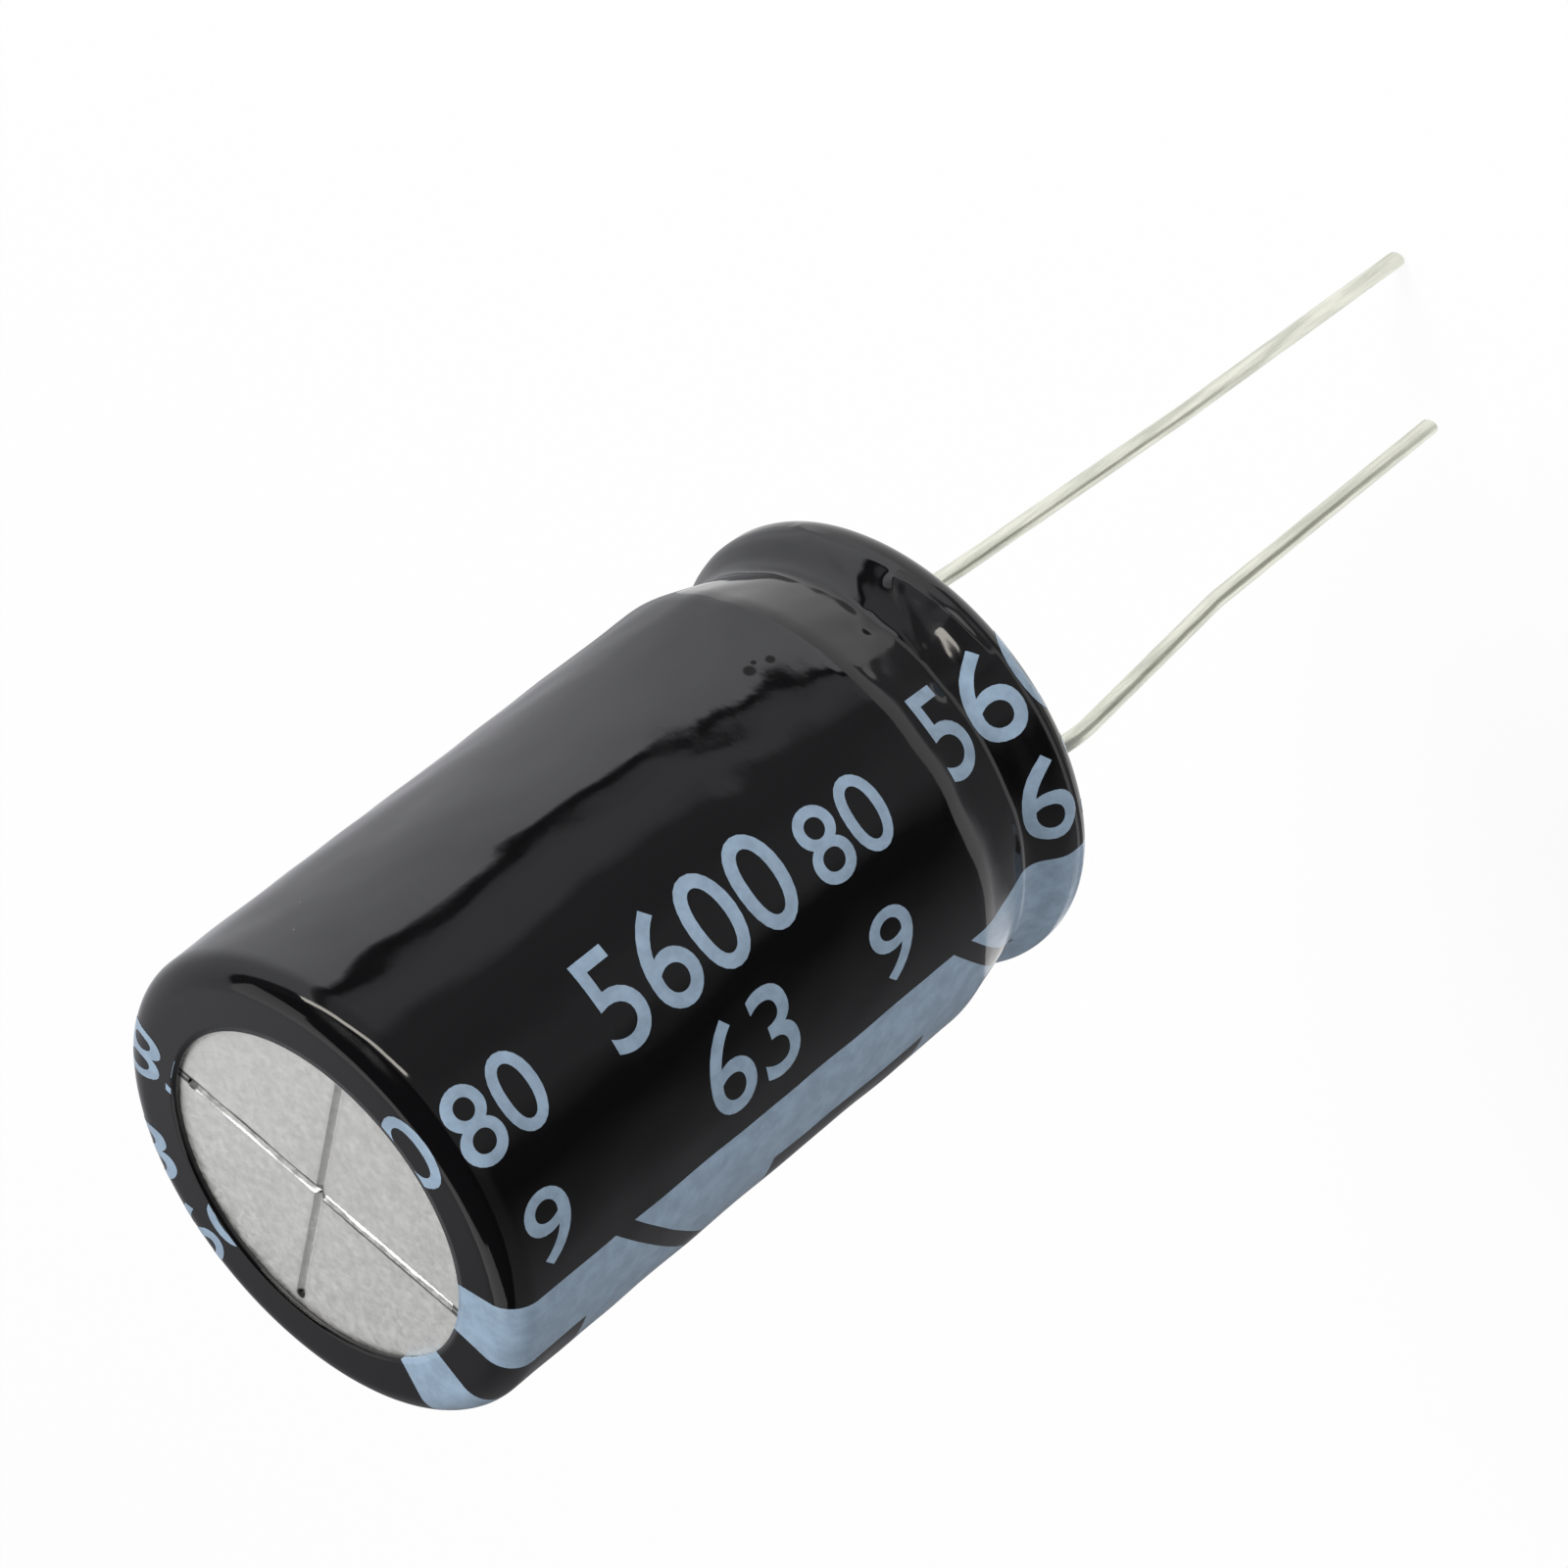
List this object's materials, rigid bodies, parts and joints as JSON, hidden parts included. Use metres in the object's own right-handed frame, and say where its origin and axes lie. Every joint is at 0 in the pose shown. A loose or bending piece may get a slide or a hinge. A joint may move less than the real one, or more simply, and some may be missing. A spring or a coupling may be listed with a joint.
{
  "type": "electrolytic capacitor",
  "caption": "Radial electrolytic capacitor: beaded aluminium can in a black shrunk sleeve with a pale polarity stripe, scored vent, rubber seal and tinned wire leads for a circuit board",
  "frame": {"origin": "centre of the seating face at the lead end, on the can's axis, where the part sits on the board", "axes": "+Z along the axis from the board to the vent; the leads run down -Z, the anode at +X and the cathode at -X; +Y completes the right-handed frame"},
  "size_m": [0.0164, 0.0164, 0.0559],
  "materials": {
    "sleeve_film": "shrunk glossy black film with pale grey-blue print",
    "can_aluminium": "drawn aluminium, fine matte",
    "seal_rubber": "moulded black rubber",
    "tinned_wire": "matte tin over copper-clad steel",
    "tab_aluminium": "pressed aluminium",
    "anode_foil": "etched and formed foil, dull grey",
    "cathode_foil": "etched foil, lighter grey",
    "separator_paper": "soaked kraft paper",
    "tape_film": "amber film tape"
  },
  "bodies": {
    "root": {"sleeve": "sleeve_film", "can": "can_aluminium", "rubber_seal": "seal_rubber", "anode_wire": "tinned_wire", "cathode_wire": "tinned_wire", "anode_tab": "tab_aluminium", "cathode_tab": "tab_aluminium", "anode_foil": "anode_foil", "cathode_foil": "cathode_foil", "separator_inner": "separator_paper", "separator_outer": "separator_paper", "fixing_tape": "tape_film"}
  },
  "joints": []
}
